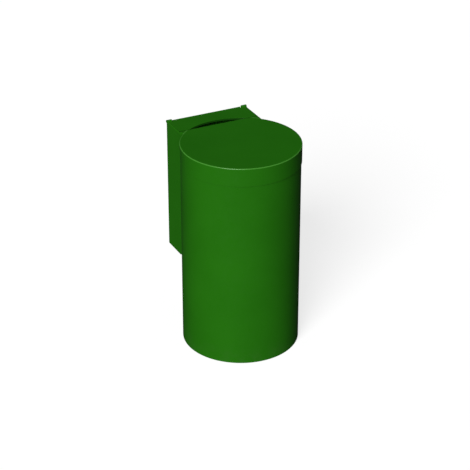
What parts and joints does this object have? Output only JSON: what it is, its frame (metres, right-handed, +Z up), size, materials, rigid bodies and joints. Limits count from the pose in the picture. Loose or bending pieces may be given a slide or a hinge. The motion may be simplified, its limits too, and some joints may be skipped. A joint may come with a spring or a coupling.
{
  "type": "dog waste bin",
  "caption": "Wall-mounted dog waste bin: round sheet-metal container with hinged lid and lift-out pail, and a rear bag magazine with a notched, lockable cover.",
  "frame": {"origin": "centre of the container's base, on the container's axis, in the plane of its underside", "axes": "+Z up along the container's axis, -Y the front, +Y towards the wall, +X to the right seen from the front"},
  "size_m": [0.3032, 0.3516, 0.549],
  "materials": {
    "green_coat": "semi-gloss powder coat over steel sheet",
    "galvanised": "hot-dip galvanised",
    "zinc_steel": "zinc plated",
    "lock_chrome": "satin nickel plated",
    "black_plastic": "moulded polyethylene",
    "black_rubber": "matt",
    "bag_film": "thin matt polyethylene film"
  },
  "bodies": {
    "root": {"container_shell": "green_coat", "rim_ring": "green_coat", "container_base": "green_coat", "housing_shell": "green_coat", "housing_front_panel": "green_coat", "access_plugs": "black_plastic", "bag_shelf": "green_coat", "bag_divider": "green_coat", "bag_pack": "bag_film", "hinge_brackets": "green_coat", "hinge_rivets": "zinc_steel", "lid_hinge_rod": "zinc_steel", "rod_retainers": "zinc_steel", "cover_hinge_pins": "green_coat", "lock_body": "lock_chrome", "lock_nut": "zinc_steel"},
    "lid": {"lid_shell": "green_coat", "lid_hinge_leaves": "green_coat", "lid_buffers": "black_rubber"},
    "cover": {"magazine_cover": "green_coat", "cover_keeper": "green_coat"},
    "lock": {"lock_spindle": "lock_chrome", "lock_cam": "zinc_steel", "cam_screw": "zinc_steel"},
    "pail": {"liner_pail": "galvanised", "liner_hoop": "galvanised", "handle_saddles": "galvanised"},
    "pail_handle_left": {"liner_handle_left": "zinc_steel"},
    "pail_handle_right": {"liner_handle_right": "zinc_steel"}
  },
  "joints": [
    {"name": "lid_hinge", "type": "hinge", "parent": "root", "child": "lid", "pos_m": [0, 0.121, 0.5405], "axis": [-1, 0, 0], "range_deg": [0, 95]},
    {"name": "cover_hinge", "type": "hinge", "parent": "root", "child": "cover", "pos_m": [0, 0.196, 0.545], "axis": [-1, 0, 0], "range_deg": [0, 90]},
    {"name": "lock_turn", "type": "hinge", "parent": "root", "child": "lock", "pos_m": [0.1, 0.184, 0.519], "axis": [1, 0, 0], "range_deg": [0, 90]},
    {"name": "pail_lift", "type": "slide", "parent": "root", "child": "pail", "axis": [0, 0, 1], "range_m": [0, 0.05]},
    {"name": "handle_left_swing", "type": "hinge", "parent": "pail", "child": "pail_handle_left", "pos_m": [-0.126, 0, 0.4645], "axis": [0, -1, 0], "range_deg": [0, 170]},
    {"name": "handle_right_swing", "type": "hinge", "parent": "pail", "child": "pail_handle_right", "pos_m": [0.126, 0, 0.4645], "axis": [0, 1, 0], "range_deg": [0, 170]}
  ]
}
